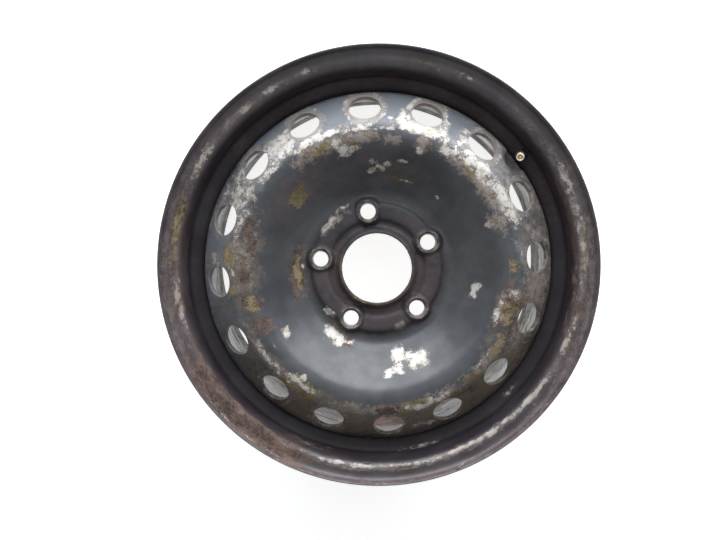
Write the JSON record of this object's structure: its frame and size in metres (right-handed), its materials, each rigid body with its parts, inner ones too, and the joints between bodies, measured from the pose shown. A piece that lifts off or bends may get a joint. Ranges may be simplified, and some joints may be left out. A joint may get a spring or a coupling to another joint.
{
  "type": "steel wheel rim",
  "caption": "Pressed steel car wheel with round vents, a dished disc, conical bolt seats and a rubber tyre valve, in worn dark paint.",
  "frame": {"origin": "on the wheel's axis, in the plane of the rear flange's edge on which it lies", "axes": "+Z along the wheel's axis towards its outer face, +Y towards the top of the picture, +X towards its right"},
  "size_m": [0.4406, 0.4404, 0.1891],
  "materials": {
    "rim_paint": "worn satin",
    "disc_paint": "worn satin",
    "weld_paint": "matt",
    "rubber": "matt",
    "brass": "dull",
    "seal": "matt",
    "steel": "satin"
  },
  "bodies": {
    "wheel": {"rim": "rim_paint", "disc": "disc_paint", "disc_welds": "weld_paint", "valve_body": "rubber", "valve_stem": "brass", "valve_core": "brass", "valve_core_seal": "seal", "valve_spring": "steel"},
    "valve_pin": {"valve_pin": "steel"}
  },
  "joints": [
    {"name": "valve_pin_press", "type": "slide", "parent": "wheel", "child": "valve_pin", "axis": [-0.2557, -0.2016, 0.9455], "range_m": [-0.0012, 0], "stiffness_N_per_m": 800, "springref_m": 0.0015, "deforming": ["valve_spring"]}
  ]
}
